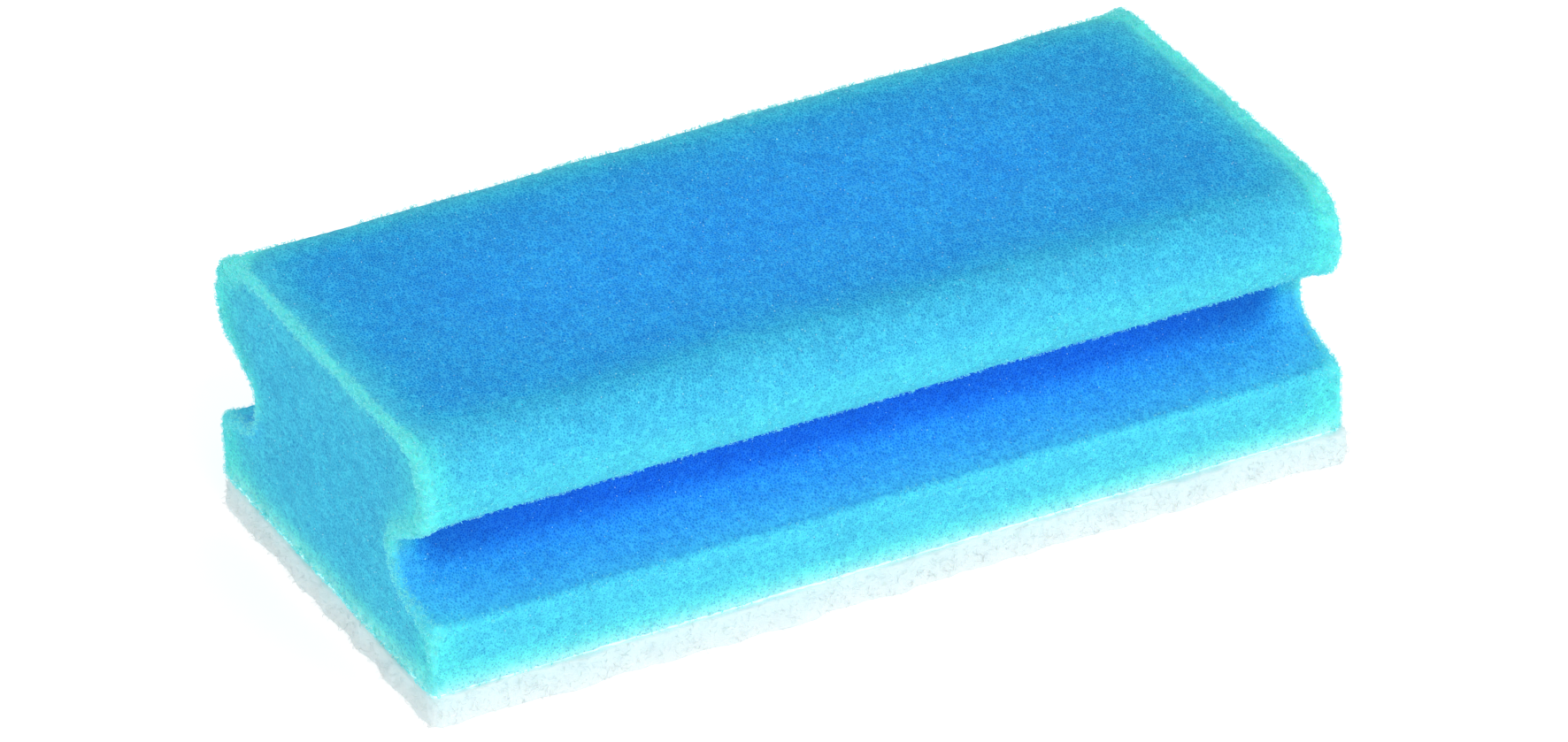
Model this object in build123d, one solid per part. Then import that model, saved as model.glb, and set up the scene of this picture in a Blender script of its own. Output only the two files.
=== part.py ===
from build123d import *

import math
import os

# A foam-backed scouring sponge with a finger groove along each long side.
#
# Three layers are laminated and then cut to size together, from the working face up:
# a nonwoven scrub pad, the thin film of adhesive that bonds it, and a one-piece foam
# body whose profile has a wide flange, a narrow waist to grip and a rounded upper lobe.
#
# The origin is the centre of the pad's working face. +X runs along the sponge, +Y
# across it and +Z up, so that it stands on its pad. Lengths are in millimetres and
# angles in degrees.

# Overall sizes of the foam body.
LENGTH = 150.0  # between the two cut ends, along X
WIDTH = 70.0  # across the flange and across the lobe, along Y

# Heights along the foam's outer edge, from the bonded face up.
FLANGE_EDGE = 10.6  # side of the lower flange
GROOVE_MOUTH = 17.8  # opening of the finger groove
LOBE_EDGE = 11.6  # side of the upper lobe, up to its flat top

# Shape of each finger groove.
GROOVE_DEPTH = 12.1  # from the outer edge in to the waist
FLANGE_SLOPE = 15.3  # rise of the flange's top towards the waist
LOBE_SLOPE = 29.7  # fall of the lobe's underside towards the waist

# Roundings of the foam profile.
FLANGE_LIP_R = 1.2  # flange side to flange top
ROOT_LOWER_R = 5.0  # flange top to waist
ROOT_UPPER_R = 3.0  # waist to lobe underside
LOBE_UNDER_R = 6.0  # lobe underside to lobe side
CROWN_R = 7.5  # lobe side to flat top
SIDE_SHARE = 0.98  # the most of a side that the roundings at its two ends may take

# Adhesive film and scrub pad.
FILM_THICKNESS = 0.3
PAD_THICKNESS = 5.7
PAD_OVERHANG = 0.3  # how far the pad's springy fibres stand past the foam's cut
PAD_CORNER_R = 2.0  # upright corners
PAD_EDGE_R = 1.2  # worn edge round the working face

PARTS_FOLDER = "parts"


def half_profile():
    """Corners of the foam profile's +Y half as (y, z) from the bonded face up, each with its radius."""
    edge = WIDTH / 2
    waist = edge - GROOVE_DEPTH
    mouth_low = FLANGE_EDGE
    mouth_high = mouth_low + GROOVE_MOUTH
    root_low = mouth_low + GROOVE_DEPTH * math.tan(math.radians(FLANGE_SLOPE))
    root_high = mouth_high - GROOVE_DEPTH * math.tan(math.radians(LOBE_SLOPE))
    crown = mouth_high + LOBE_EDGE
    return [
        ((edge, 0.0), 0.0),
        ((edge, mouth_low), FLANGE_LIP_R),
        ((waist, root_low), ROOT_LOWER_R),
        ((waist, root_high), ROOT_UPPER_R),
        ((edge, mouth_high), LOBE_UNDER_R),
        ((edge, crown), CROWN_R),
    ]


def room_on(side, reach_a, reach_b):
    """How much of two roundings' reach a side has room for, from 0 to 1."""
    taken = reach_a + reach_b
    return min(1.0, SIDE_SHARE * side.length / taken) if taken else 1.0


def fitting_radii(corners, wanted):
    """The wanted radii of a closed outline, reduced where two roundings would meet on their side."""
    count = len(corners)
    sides = [corners[(i + 1) % count] - corners[i] for i in range(count)]
    turns = [math.radians(sides[i - 1].get_angle(sides[i])) for i in range(count)]
    reach = [radius * math.tan(turn / 2) for radius, turn in zip(wanted, turns)]
    radii = []
    for i, radius in enumerate(wanted):
        before = room_on(sides[i - 1], reach[i - 1], reach[i])
        after = room_on(sides[i], reach[i], reach[(i + 1) % count])
        radii.append(radius * min(before, after))
    return radii


def make_foam_body():
    """The waisted foam block: one profile, the same on both sides, cut square at both ends."""
    right = half_profile()
    left = [((-y, z), radius) for (y, z), radius in reversed(right)]
    corners = [Vector(*point) for point, _ in right + left]
    radii = fitting_radii(corners, [radius for _, radius in right + left])
    outline = FilletPolyline(*corners, radius=radii, close=True)
    block = extrude(Plane.YZ * make_face(outline), amount=LENGTH / 2, both=True)
    return Pos(0, 0, PAD_THICKNESS + FILM_THICKNESS) * block


def make_bond_film():
    """The adhesive that covers the whole bonded face and is cut flush with the foam."""
    film = Box(LENGTH, WIDTH, FILM_THICKNESS, align=(Align.CENTER, Align.CENTER, Align.MIN))
    return Pos(0, 0, PAD_THICKNESS) * film


def make_scrub_pad():
    """The nonwoven slab under the film, with rounded corners and a worn lower edge."""
    outline = RectangleRounded(LENGTH + 2 * PAD_OVERHANG, WIDTH + 2 * PAD_OVERHANG, PAD_CORNER_R)
    slab = extrude(outline, amount=PAD_THICKNESS)
    lower_edges = slab.edges().group_by(Axis.Z)[0]
    return fillet(lower_edges, min(PAD_EDGE_R, PAD_CORNER_R / 2, PAD_THICKNESS / 2))


os.makedirs(PARTS_FOLDER, exist_ok=True)
for name, make in [
    ("foam_body", make_foam_body),
    ("bond_film", make_bond_film),
    ("scrub_pad", make_scrub_pad),
]:
    piece = make()
    export_step(piece, os.path.join(PARTS_FOLDER, f"{name}.step"))
    print(f"{name}: {piece.volume / 1000:.2f} cm3, {piece.bounding_box().size}")
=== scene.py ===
# %% [markdown]
# # A scouring sponge with finger grooves
#
# The sponge is three layers glued into one block: blue open-cell foam shaped to a waisted
# profile, a film of adhesive, and a white nonwoven scrub pad. The solid model already fixes
# where each layer is and how big. This lesson loads it as a fixed frame and then makes each
# layer again the way it looks: foam with open cells, a ragged glue line, a web of fibres.

import math

import bpy
import numpy as np
from mathutils import Matrix, Vector
from mathutils.bvhtree import BVHTree


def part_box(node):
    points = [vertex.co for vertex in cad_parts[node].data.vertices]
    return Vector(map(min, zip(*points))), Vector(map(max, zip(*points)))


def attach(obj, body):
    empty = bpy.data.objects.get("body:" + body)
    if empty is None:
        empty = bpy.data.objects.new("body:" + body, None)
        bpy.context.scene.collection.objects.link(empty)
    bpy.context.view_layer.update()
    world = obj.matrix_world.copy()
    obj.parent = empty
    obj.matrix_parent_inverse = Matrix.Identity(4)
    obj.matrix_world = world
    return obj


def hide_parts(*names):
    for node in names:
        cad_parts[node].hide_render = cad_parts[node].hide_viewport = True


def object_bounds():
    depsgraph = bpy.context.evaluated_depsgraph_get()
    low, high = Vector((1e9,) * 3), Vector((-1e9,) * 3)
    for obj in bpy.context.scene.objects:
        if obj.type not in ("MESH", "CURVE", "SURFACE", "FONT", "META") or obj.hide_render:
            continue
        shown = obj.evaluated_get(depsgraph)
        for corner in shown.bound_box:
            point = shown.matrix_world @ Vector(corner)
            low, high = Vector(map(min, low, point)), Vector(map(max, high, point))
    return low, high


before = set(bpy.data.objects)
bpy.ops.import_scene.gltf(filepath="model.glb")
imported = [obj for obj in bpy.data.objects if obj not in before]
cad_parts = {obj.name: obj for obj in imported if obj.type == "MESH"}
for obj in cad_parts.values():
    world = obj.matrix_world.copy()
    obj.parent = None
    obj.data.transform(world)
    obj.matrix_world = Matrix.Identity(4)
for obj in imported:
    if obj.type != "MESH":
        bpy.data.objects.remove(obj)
solid_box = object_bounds()

MM = 0.001
BODY = "root"
foam_low, foam_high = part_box("foam_body")
film_low, film_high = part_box("bond_film")
pad_low, pad_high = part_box("scrub_pad")
print("foam", [round(v / MM, 1) for v in foam_high - foam_low], "mm,",
      "pad", [round(v / MM, 1) for v in pad_high - pad_low], "mm")

# %% [markdown]
# ## Helpers
#
# Node trees are long to write out by hand, so `put` adds one node and fills its inputs: a
# socket is linked and anything else is set. `math_node`, `vector_node` and `scaled_to` do the
# same for the sums that come up most. `modelled` runs a Geometry Nodes tree over a mesh and
# keeps the result as a plain mesh, so no live modifier is left on the piece. `piece_from`
# puts a mesh into the scene as a finished piece at the origin.

# %% Node, modifier and piece helpers
def feed(tree, socket, value):
    """Links a socket to another socket, or sets it to a plain value."""
    if isinstance(value, bpy.types.NodeSocket):
        tree.links.new(value, socket)
    else:
        socket.default_value = value


def put(tree, kind, inputs=None, **options):
    """Adds one node. In inputs a socket is linked and a plain value is set."""
    node = tree.nodes.new(kind)
    for name, value in options.items():
        setattr(node, name, value)
    for name, value in (inputs or {}).items():
        if isinstance(name, int):
            socket = node.inputs[name]
        else:
            socket = next(s for s in node.inputs if s.name == name and s.enabled)
        feed(tree, socket, value)
    return node


def math_node(tree, operation, *values):
    """A Math node's result for one to three values or sockets."""
    return put(tree, "ShaderNodeMath", dict(enumerate(values)), operation=operation).outputs[0]


def vector_node(tree, operation, first, second):
    """A Vector Math node's result. SCALE takes a number as its second input."""
    second_input = "Scale" if operation == "SCALE" else 1
    inputs = {0: first, second_input: second}
    return put(tree, "ShaderNodeVectorMath", inputs, operation=operation).outputs[0]


def xyz(tree, **parts):
    """A vector put together from its parts. A part left out is 0."""
    return put(tree, "ShaderNodeCombineXYZ", parts).outputs[0]


def per(tree, size):
    """A texture's scale for features of that size."""
    return math_node(tree, "DIVIDE", 1.0, size)


def cloud_around_0(tree, place, seed, size, detail):
    """A 4-D noise with patches of that size, from about -0.5 to 0.5."""
    inputs = {"Vector": place, "W": seed, "Scale": per(tree, size), "Detail": detail}
    noise = put(tree, "ShaderNodeTexNoise", inputs, noise_dimensions="4D").outputs[0]
    return math_node(tree, "SUBTRACT", noise, 0.5)


def split_xyz(tree, vector):
    """The three parts of a vector."""
    return put(tree, "ShaderNodeSeparateXYZ", {0: vector}).outputs


def scaled_to(tree, value, low, high, to_low=0.0, to_high=1.0):
    """Maps value smoothly from low..high to to_low..to_high, clamped at both ends."""
    inputs = {"Value": value, "From Min": low, "From Max": high}
    inputs |= {"To Min": to_low, "To Max": to_high}
    return put(tree, "ShaderNodeMapRange", inputs, interpolation_type="SMOOTHSTEP").outputs[0]


def modelled(mesh, tree, settings, name):
    """Runs a Geometry Nodes tree on a mesh and returns the result as a new plain mesh."""
    holder = bpy.data.objects.new(name + "_making", mesh)
    bpy.context.scene.collection.objects.link(holder)
    modifier = holder.modifiers.new(tree.name, "NODES")
    modifier.node_group = tree
    sockets = {s.name: s.identifier for s in tree.interface.items_tree if s.in_out == "INPUT"}
    for label, value in settings.items():
        modifier[sockets[label]] = value
    return kept(holder, name)


def kept(holder, name):
    """The evaluated mesh of a working object, which is then removed."""
    graph = bpy.context.evaluated_depsgraph_get()
    mesh = bpy.data.meshes.new_from_object(
        holder.evaluated_get(graph), preserve_all_data_layers=True, depsgraph=graph
    )
    mesh.name = name
    bpy.data.objects.remove(holder)
    print(f"{name}: {len(mesh.vertices)} points, {len(mesh.polygons)} faces")
    return mesh


def piece_from(mesh, name, material, node=None, smooth=True):
    """A finished piece at the origin that rides on the sponge and may replace one solid."""
    piece = bpy.data.objects.new(name, mesh)
    bpy.context.scene.collection.objects.link(piece)
    mesh.materials.clear()
    mesh.materials.append(material)
    if smooth:
        mesh.shade_smooth()
    else:
        mesh.shade_flat()
    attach(piece, BODY)
    if node:
        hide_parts(node)
    return piece


# %% [markdown]
# ## Where the camera stands
#
# The camera looks down on the left end and the front groove from far away with a long lens,
# so the sponge's edges stay nearly parallel. A wide lens close by would make the near end look
# much larger than the far one. Angles and distance are written as a maker would say them, and
# the matrix is worked out from them.

# %% Camera
VIEW_AZIMUTH = math.radians(-26.728)
VIEW_ELEVATION = math.radians(31.104)
VIEW_ROLL = math.radians(-1.493)
VIEW_DISTANCE = 1.6762
AIM_RIGHT = 0.34 * MM
AIM_UP = -2.6 * MM
LENS = 260.08
SENSOR = 36.0


def make_camera():
    """A long-lens camera aimed near the middle of the sponge's box."""
    low, high = Vector(solid_box[0]), Vector(solid_box[1])
    level = Vector((math.cos(VIEW_AZIMUTH), math.sin(VIEW_AZIMUTH), 0))
    back = Vector((
        math.sin(VIEW_AZIMUTH) * math.cos(VIEW_ELEVATION),
        -math.cos(VIEW_AZIMUTH) * math.cos(VIEW_ELEVATION),
        math.sin(VIEW_ELEVATION),
    ))
    upright = back.cross(level)
    right = level * math.cos(VIEW_ROLL) + upright * math.sin(VIEW_ROLL)
    up = upright * math.cos(VIEW_ROLL) - level * math.sin(VIEW_ROLL)
    place = (low + high) / 2 + level * AIM_RIGHT + upright * AIM_UP + back * VIEW_DISTANCE
    camera = bpy.data.objects.new("camera", bpy.data.cameras.new("camera"))
    camera.data.lens = LENS
    camera.data.sensor_width = SENSOR
    camera.data.clip_end = 20
    turn = Matrix((right, up, back)).transposed().to_4x4()
    camera.matrix_world = Matrix.Translation(place) @ turn
    bpy.context.scene.collection.objects.link(camera)
    bpy.context.scene.camera = camera
    print("camera at", [round(v, 4) for v in place])


make_camera()

# %% [markdown]
# ## How much foam stands round each spot
#
# Foam is a cloud of thin blue struts. Where only a little of it stands round a spot, as on a
# cut edge, light gets through and the foam looks pale and greenish. Deep in a groove the
# light has been through a lot of blue, and the foam looks dark. Both are painted into the
# colour as light and shade, so one measure drives most of the colour: the share of foam in a
# soft ball round the spot. The body is one profile pulled along X, so that share is a blur of
# the profile in Y and Z times a blur of the two cut ends in X. Four ball sizes are kept, from
# a rim's width to half the block.

# %% The profile as a grid of foam and air
GRID_STEP = 0.5 * MM
GRID_MARGIN = 40 * MM
REACHES = {"rim": 1.8 * MM, "edge": 5.0 * MM, "core": 10.0 * MM, "deep": 20.0 * MM}


def read_profile():
    """1 for foam and 0 for air on a Y by Z grid, found by looking from inside towards one end."""
    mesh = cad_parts["foam_body"].data
    corners = [v.co for v in mesh.vertices]
    tree = BVHTree.FromPolygons(corners, [p.vertices[:] for p in mesh.polygons])
    ys = np.arange(foam_low.y - GRID_MARGIN, foam_high.y + GRID_MARGIN, GRID_STEP)
    zs = np.arange(foam_low.z - GRID_MARGIN, foam_high.z + GRID_MARGIN, GRID_STEP)
    towards_end = Vector((1, 0, 0))
    grid = np.array([
        [tree.ray_cast(Vector((0, y, z)), towards_end)[0] is not None for z in zs] for y in ys
    ], float)
    print("profile area", round(grid.sum() * (GRID_STEP / MM) ** 2), "mm2")
    return ys, zs, grid


def blurred(grid, reach):
    """The grid seen through a soft round window with that reach."""
    span = int(3 * reach / GRID_STEP)
    offsets = np.arange(-span, span + 1) * GRID_STEP
    window = np.exp(-0.5 * (offsets / reach) ** 2)
    window /= window.sum()
    for axis in (0, 1):
        grid = np.apply_along_axis(np.convolve, axis, grid, window, "same")
    return grid


profile_y, profile_z, profile = read_profile()
profile_blurs = {name: blurred(profile, reach) for name, reach in REACHES.items()}


# %% Read the shares at any place
def sampled(grid, places):
    """The grid's value at each place's Y and Z, between its four nearest knots."""
    fy = np.clip((places[:, 1] - profile_y[0]) / GRID_STEP, 0, len(profile_y) - 1.001)
    fz = np.clip((places[:, 2] - profile_z[0]) / GRID_STEP, 0, len(profile_z) - 1.001)
    iy, iz = fy.astype(int), fz.astype(int)
    ty, tz = fy - iy, fz - iz
    return (
        grid[iy, iz] * (1 - ty) * (1 - tz) + grid[iy + 1, iz] * ty * (1 - tz)
        + grid[iy, iz + 1] * (1 - ty) * tz + grid[iy + 1, iz + 1] * ty * tz
    )


def along_share(places, reach):
    """The part of the share that the two cut ends take away, along X."""
    knots = np.linspace(foam_low.x - GRID_MARGIN, foam_high.x + GRID_MARGIN, 2001)
    spread = reach * math.sqrt(2)
    steps = [
        math.erf((foam_high.x - x) / spread) + math.erf((x - foam_low.x) / spread) for x in knots
    ]
    return np.interp(places[:, 0], knots, 0.5 * np.array(steps))


def share_of_foam(places, name):
    """The share of foam round each place, from 0 in the open to 1 deep inside."""
    return sampled(profile_blurs[name], places) * along_share(places, REACHES[name])


def facing_up(places):
    """1 where the surface near a place faces straight up, 0 where it is upright or overhangs."""
    slope_y, slope_z = np.gradient(profile_blurs["rim"], GRID_STEP)
    along = along_share(places, REACHES["rim"])
    ahead = along_share(places + (GRID_STEP, 0, 0), REACHES["rim"])
    across = sampled(profile_blurs["rim"], places)
    out = -np.stack([
        across * (ahead - along) / GRID_STEP,
        sampled(slope_y, places) * along,
        sampled(slope_z, places) * along,
    ], axis=1)
    return np.clip(out[:, 2] / (np.linalg.norm(out, axis=1) + 1e-9), 0, 1)


# %% [markdown]
# ## From shares to light
#
# The shares are put together as `light_path`: how much blue the light has been through on its
# way to the eye. It is painted into the foam's colour as light and shade. Four things change
# it. Light from above goes straight down into the top and comes back late, so the path in the
# top is about doubled, which paints the top darker. Under the lobe, light only comes in
# through the groove's mouth, so the root of the groove counts extra, as painted shade. The
# white pad under the foam throws light back up, which brightens the lowest few millimetres.
# And light from the far side comes through the top's far edges, which thins the path there.
#
# Five more measures are stored beside it:
#
# - `rim_share` is the share within the smallest ball, and it is low on every edge.
# - `end_rim` is the same with the long edges taken out. The rims glow pale only where the
#   block was cut across, at its two ends, and a little along the top's far edges.
# - `roof_light` says where a spot faces up to foam overhead. The lobe lets only blue through,
#   so the floor of the groove is lit in blue.
# - `blue_kept` is painted light: it dims the blue where little foam stands within 20 mm, and a
#   little more towards the right end and the back, where the colour turns to green.
# - `pad_light` is painted light: the white of the pad, seen through the foam's lowest millimetre.

# %% Store the measures on a mesh
# The path at a thin edge, and what the top and the groove's root add to it: a painted darker
# top and painted shade at the groove's root.
THIN_SHARE, PATH_AT_THIN = 0.25, 0.15
TOP_STARTS, TOP_FULL, TOP_EXTRA = 0.6, 0.8, 1.08
GROOVE_SHARE, GROOVE_SPAN, GROOVE_MOST, GROOVE_EXTRA = 0.51, 0.14, 1.2, 0.50
GROOVE_END = 3.0 * MM
# The pad's painted light: the path it takes away low down, and the white it shows lower still.
PAD_GLOW, PAD_GLOW_HEIGHT = 0.27, 2.6 * MM
PAD_LIGHT, PAD_LIGHT_HEIGHT = 0.6, 1.15 * MM
# Long edges get less painted glow than the ends. Far edges, where painted light from behind
# comes through, are parts of the half sizes and the height.
LONG_EDGE_EXTRA = 0.30
BACK_STARTS, BACK_FULL = 0.70, 0.90
RIGHT_STARTS, RIGHT_FULL = 0.945, 0.995
FAR_TOP_STARTS, FAR_TOP_FULL = 0.86, 0.95
FAR_PALE, FAR_THINNED, FAR_LIGHT_GREENING = 0.36, 0.12, 0.11
# Blue light from a roof of foam, which a deep groove shuts out again.
ROOF_HEIGHT, ROOF_SOON, ROOF_LIGHT, ROOF_SHUT = 12 * MM, 0.17, 0.6, 0.8
# How much of the blue is kept, as painted light: less where the foam is thin, and less
# towards the right end and the back.
SHALLOW, DEEP_ENOUGH = 0.30, 0.42
SHALLOW_BLUE, RIGHT_BACK_LIGHT_GREENING, ROOF_KEEPS = 0.83, 0.06, 0.28


def points_of(mesh):
    """The mesh's points as an array."""
    flat = np.empty(len(mesh.vertices) * 3, np.float32)
    mesh.vertices.foreach_get("co", flat)
    return flat.reshape(-1, 3).astype(float)


def store(mesh, name, values):
    """Keeps one number per point on the mesh."""
    layer = mesh.attributes.get(name) or mesh.attributes.new(name, "FLOAT", "POINT")
    layer.data.foreach_set("value", values.astype(np.float32))
    print(f"{mesh.name} {name}: {values.min():.2f} to {values.max():.2f}")


def far_edge(places):
    """1 along the top's far long edge and right end, where light from behind is painted in, 0
    elsewhere.
    """
    right = (places[:, 0] / foam_high.x - RIGHT_STARTS) / (RIGHT_FULL - RIGHT_STARTS)
    back = (places[:, 1] / foam_high.y - BACK_STARTS) / (BACK_FULL - BACK_STARTS)
    up_the_block = (places[:, 2] - foam_low.z) / (foam_high.z - foam_low.z)
    upper = (up_the_block - FAR_TOP_STARTS) / (FAR_TOP_FULL - FAR_TOP_STARTS)
    return np.clip(np.maximum(right, back), 0, 1) * np.clip(upper, 0, 1)


def mark_light(mesh):
    """Stores the measures on every point of a mesh."""
    places = points_of(mesh)
    height = places[:, 2] - foam_low.z
    up_the_block = height / (foam_high.z - foam_low.z)
    upward = facing_up(places)
    top = np.sqrt(upward) * np.clip((up_the_block - TOP_STARTS) / (TOP_FULL - TOP_STARTS), 0, 1)
    core = sampled(profile_blurs["core"], places) * along_share(places, GROOVE_END)
    groove = np.clip((core - GROOVE_SHARE) / GROOVE_SPAN, 0, GROOVE_MOST)
    # Painted shade: the path is longer on the top, which paints it darker, and at the groove's
    # root.
    path = PATH_AT_THIN + (share_of_foam(places, "edge") - THIN_SHARE) * (1 + TOP_EXTRA * top)
    path += GROOVE_EXTRA * groove ** 2
    path -= PAD_GLOW * np.exp(-np.clip(height, 0, None) / PAD_GLOW_HEIGHT)
    far = far_edge(places)
    path -= FAR_THINNED * far
    store(mesh, "light_path", path)
    rim = share_of_foam(places, "rim")
    store(mesh, "rim_share", rim)
    inside_ends = 2 * along_share(places, REACHES["edge"]) - 1
    store(mesh, "end_rim", rim + LONG_EDGE_EXTRA * inside_ends - FAR_PALE * far)
    roof = share_of_foam(places + (0, 0, ROOF_HEIGHT), "edge")
    roof_light = ROOF_LIGHT * (1 - np.exp(-upward * roof / ROOF_SOON))
    roof_light *= np.clip(1 - ROOF_SHUT * groove ** 2, 0, 1)
    store(mesh, "roof_light", roof_light)
    deep = share_of_foam(places, "deep")
    # Painted light: less blue where the foam is thin, towards the right end and the back, and at
    # the far edges; more under the lobe's roof.
    blue = np.interp(deep, (SHALLOW, DEEP_ENOUGH), (SHALLOW_BLUE, 1.0))
    right_back_light = np.clip(places[:, :2] / (foam_high.x, foam_high.y), 0, 1) ** 2
    blue -= RIGHT_BACK_LIGHT_GREENING * right_back_light.sum(axis=1) + FAR_LIGHT_GREENING * far
    store(mesh, "blue_kept", blue + ROOF_KEEPS * roof_light)
    store(mesh, "pad_light", PAD_LIGHT * np.exp(-np.clip(height, 0, None) / PAD_LIGHT_HEIGHT))


# %% [markdown]
# ## Shared finishes as shader groups
#
# Three effects are used by more than one material, so each is a node group with named
# inputs and outputs. `open_cells` gives the pores and thin walls of a foam, for the block and
# for its loose struts. `fibre_tangle` gives crossing strands, for the pad and for the glue
# that soaks into it. `soft_mottle` gives the slow, cloudy change of tone that any dyed or
# glued batch has. Each gives out only masks, tones and heights, and the material decides.

# %% Shader groups
NUMBER, VECTOR, GEOMETRY = "NodeSocketFloat", "NodeSocketVector", "NodeSocketGeometry"
MATERIAL, TEXT, COUNT = "NodeSocketMaterial", "NodeSocketString", "NodeSocketInt"
PORE_OPEN, PORE_SHUT = 0.12, 0.58
WALL_FULL, WALL_GONE = 0.02, 0.2
STRAND_STARTS, STRAND_FULL = 0.5, 0.72
STRAND_TURNS = ((0.2, 0.15, 0.3), (-0.3, 0.25, 1.35), (0.25, -0.3, 2.4))
MIDDLE = (0.5, 0.5, 0.5)


def new_group(kind, name, ins, outs):
    """An empty node group with named inputs and outputs: the tree, its inputs, its last node."""
    tree = bpy.data.node_groups.new(name, kind)
    for label, socket, value in ins:
        made = tree.interface.new_socket(label, in_out="INPUT", socket_type=socket)
        if value is not None:
            made.default_value = value
    for label, socket in outs:
        tree.interface.new_socket(label, in_out="OUTPUT", socket_type=socket)
    return tree, tree.nodes.new("NodeGroupInput").outputs, tree.nodes.new("NodeGroupOutput")


def finish_tree(tree, last, finish, out):
    """Ends a Geometry Nodes tree: instances made real, then the finish."""
    real = put(tree, "GeometryNodeRealizeInstances", {"Geometry": last.outputs[0]})
    dyed = put(tree, "GeometryNodeSetMaterial", {"Geometry": real.outputs[0], "Material": finish})
    tree.links.new(dyed.outputs[0], out.inputs["Geometry"])


def make_open_cells():
    """Pores and walls of an open-cell foam from a 3-D cell pattern, with a tone for each cell."""
    tree, ask, out = new_group(
        "ShaderNodeTree", "open_cells",
        [("Vector", VECTOR, None), ("Cell Size", NUMBER, 0.6 * MM),
         ("Wander", NUMBER, 0.5)],
        [("Pores", NUMBER), ("Walls", NUMBER), ("Tone", NUMBER),
         ("Height", NUMBER)],
    )
    rate = per(tree, ask["Cell Size"])
    cloud = {"Vector": ask["Vector"], "Scale": rate, "Detail": 1.0}
    bend = put(tree, "ShaderNodeTexNoise", cloud).outputs["Color"]
    reach = math_node(tree, "MULTIPLY", ask["Cell Size"], ask["Wander"])
    moved = vector_node(tree, "SCALE", vector_node(tree, "SUBTRACT", bend, MIDDLE), reach)
    pattern = {"Vector": vector_node(tree, "ADD", ask["Vector"], moved), "Scale": rate}
    cells = put(tree, "ShaderNodeTexVoronoi", pattern, feature="F1")
    edges = put(tree, "ShaderNodeTexVoronoi", pattern, feature="DISTANCE_TO_EDGE")
    pores = scaled_to(tree, cells.outputs["Distance"], PORE_OPEN, PORE_SHUT, 1.0, 0.0)
    walls = scaled_to(tree, edges.outputs["Distance"], WALL_FULL, WALL_GONE, 1.0, 0.0)
    tone = put(tree, "ShaderNodeSeparateColor", {0: cells.outputs["Color"]}).outputs[0]
    height = math_node(tree, "SUBTRACT", walls, pores)
    for label, socket in {"Pores": pores, "Walls": walls, "Tone": tone, "Height": height}.items():
        tree.links.new(socket, out.inputs[label])
    return tree


def make_soft_mottle():
    """A slow, cloudy change of tone, around 1."""
    tree, ask, out = new_group(
        "ShaderNodeTree", "soft_mottle",
        [("Vector", VECTOR, None), ("Patch Size", NUMBER, 8 * MM),
         ("Strength", NUMBER, 0.1)],
        [("Factor", NUMBER)],
    )
    rate = per(tree, ask["Patch Size"])
    cloud = {"Vector": ask["Vector"], "Scale": rate, "Detail": 3.0}
    centred = math_node(tree, "SUBTRACT", put(tree, "ShaderNodeTexNoise", cloud).outputs[0], 0.5)
    swing = math_node(tree, "MULTIPLY", centred, ask["Strength"])
    tree.links.new(math_node(tree, "MULTIPLY_ADD", swing, 2.0, 1.0), out.inputs["Factor"])
    return tree


def make_fibre_tangle():
    """Crossing strands of a nonwoven web: three stretched noises, turned against each other."""
    tree, ask, out = new_group(
        "ShaderNodeTree", "fibre_tangle",
        [("Vector", VECTOR, None), ("Strand Width", NUMBER, 0.12 * MM),
         ("Strand Length", NUMBER, 2.5 * MM)],
        [("Strands", NUMBER), ("Height", NUMBER)],
    )
    thin = per(tree, ask["Strand Width"])
    long = per(tree, ask["Strand Length"])
    stretch = xyz(tree, X=long, Y=thin, Z=thin)
    top = None
    for turn in STRAND_TURNS:
        lying = {"Vector": ask["Vector"], "Rotation": turn}
        turned = put(tree, "ShaderNodeVectorRotate", lying, rotation_type="EULER_XYZ").outputs[0]
        laid = vector_node(tree, "MULTIPLY", turned, stretch)
        wavy = {"Vector": laid, "Scale": 1.0, "Detail": 1.0, "Distortion": 0.4}
        strand = put(tree, "ShaderNodeTexNoise", wavy).outputs[0]
        ridge = scaled_to(tree, strand, STRAND_STARTS, STRAND_FULL)
        top = ridge if top is None else math_node(tree, "MAXIMUM", top, ridge)
    tree.links.new(top, out.inputs["Strands"])
    tree.links.new(top, out.inputs["Height"])
    return tree


open_cells = make_open_cells()
soft_mottle = make_soft_mottle()
fibre_tangle = make_fibre_tangle()
print("shader groups:", open_cells.name, soft_mottle.name, fibre_tangle.name)

# %% [markdown]
# ## Blue foam
#
# The finish starts from the stored light path, painted into the colour as light and shade. A
# colour ramp runs from the pale green-blue of a thin edge, where light gets through, to the
# deep blue of the painted shade at the root of a groove, and the other measures tint it with
# more painted light. Each cell then has its own tone: a pore is painted as a small dark hole
# of shade in thick foam, but on a cut rim it is painted pale, as the bright room shines through
# it. The walls between pores are painted lighter, most of all where the foam is pale already.
# Foam rises in its mould before it sets, which pulls the cells long in one direction, here
# across the sponge. Light also spreads a little inside foam, so the shader scatters under the
# surface, blue furthest and red least. A picture of foam wrapped round the block would show
# seams on the cut ends, and a pattern made in three dimensions has none.

# %% Blue foam material
CELL = 0.36 * MM
CLUMP = 2.6 * CELL
RISE_STRETCH = 1.7
PATH_AT_RAMP_END = 1.3
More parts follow.
